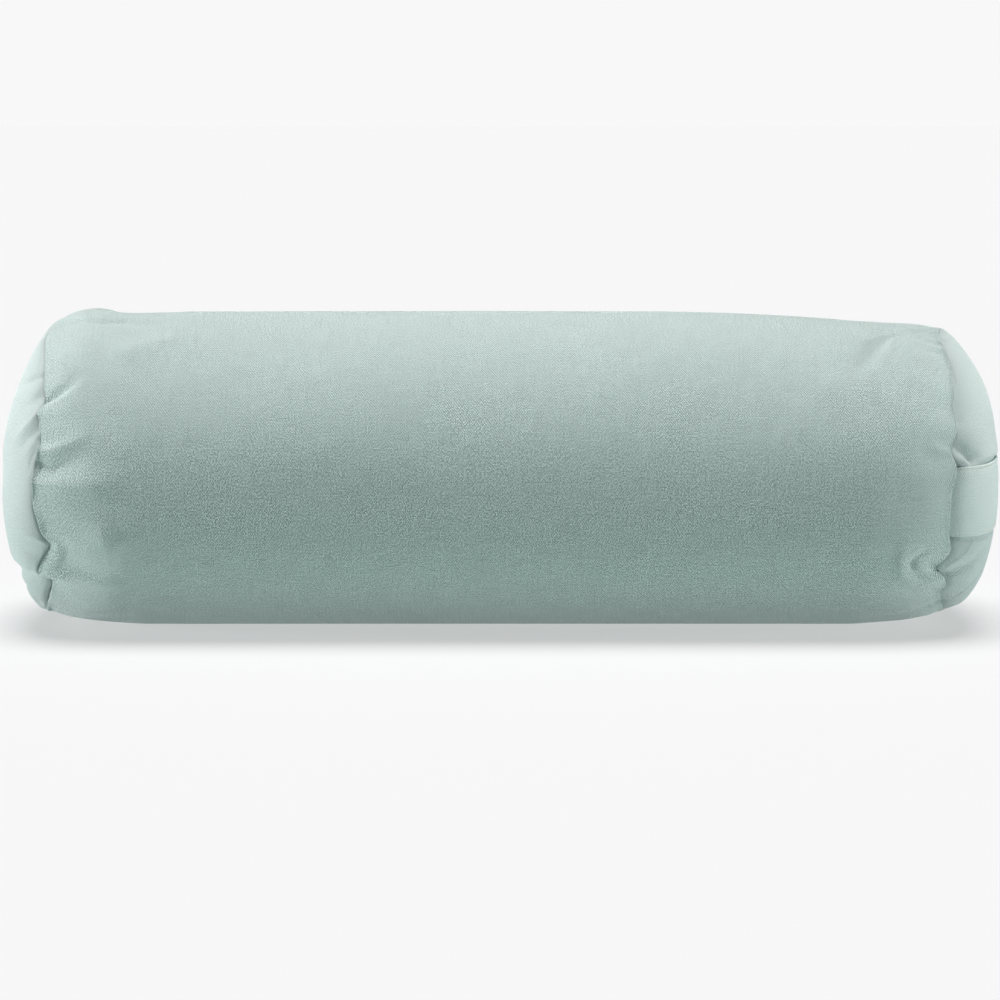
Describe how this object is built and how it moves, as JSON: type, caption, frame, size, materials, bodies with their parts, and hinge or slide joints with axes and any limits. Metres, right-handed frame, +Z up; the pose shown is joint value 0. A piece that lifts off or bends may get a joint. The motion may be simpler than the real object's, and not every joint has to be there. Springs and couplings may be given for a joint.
{
  "type": "yoga bolster",
  "caption": "Round stuffed yoga bolster: canvas cover with gathered ends, a carry strap across one end, a zip along the back, and a filled inner case.",
  "frame": {"origin": "on the floor, in the middle of the flat the bolster rests on, half way between the two end seams", "axes": "+X along the bolster to the end with the carry strap, +Y to the back where the zip is, +Z up"},
  "size_m": [0.6505, 0.226, 0.2035],
  "materials": {
    "canvas": "matte",
    "strap": "matte",
    "zip_tape": "matte",
    "zip_coil": "satin",
    "zip_metal": "satin",
    "calico": "matte",
    "fibre": "matte"
  },
  "bodies": {
    "bolster": {"cover_body": "canvas", "cover_end_left": "canvas", "cover_end_right": "canvas", "zip_tape_upper": "zip_tape", "zip_tape_lower": "zip_tape", "zip_coil_upper": "zip_coil", "zip_coil_lower": "zip_coil", "zip_top_stop_upper": "zip_metal", "zip_top_stop_lower": "zip_metal", "zip_bottom_stop": "zip_metal", "inner_case_body": "calico", "inner_case_end_left": "calico", "inner_case_end_right": "calico", "filling": "fibre"},
    "slider": {"zip_slider": "zip_metal"},
    "pull": {"zip_pull": "zip_metal"},
    "handle": {"handle_strap": "strap"}
  },
  "joints": [
    {"name": "zip_slide", "type": "slide", "parent": "bolster", "child": "slider", "axis": [-1, 0, 0], "range_m": [0, 0.396], "deforming": ["zip_coil_upper", "zip_coil_lower"]},
    {"name": "zip_pull_flip", "type": "hinge", "parent": "slider", "child": "pull", "pos_m": [0.1981, 0.11299, 0.096], "axis": [0, 0, -1], "range_deg": [0, 180]},
    {"name": "handle_lift", "type": "slide", "parent": "bolster", "child": "handle", "axis": [1, 0, 0], "range_m": [0, 0.02], "deforming": ["handle_strap"]}
  ]
}
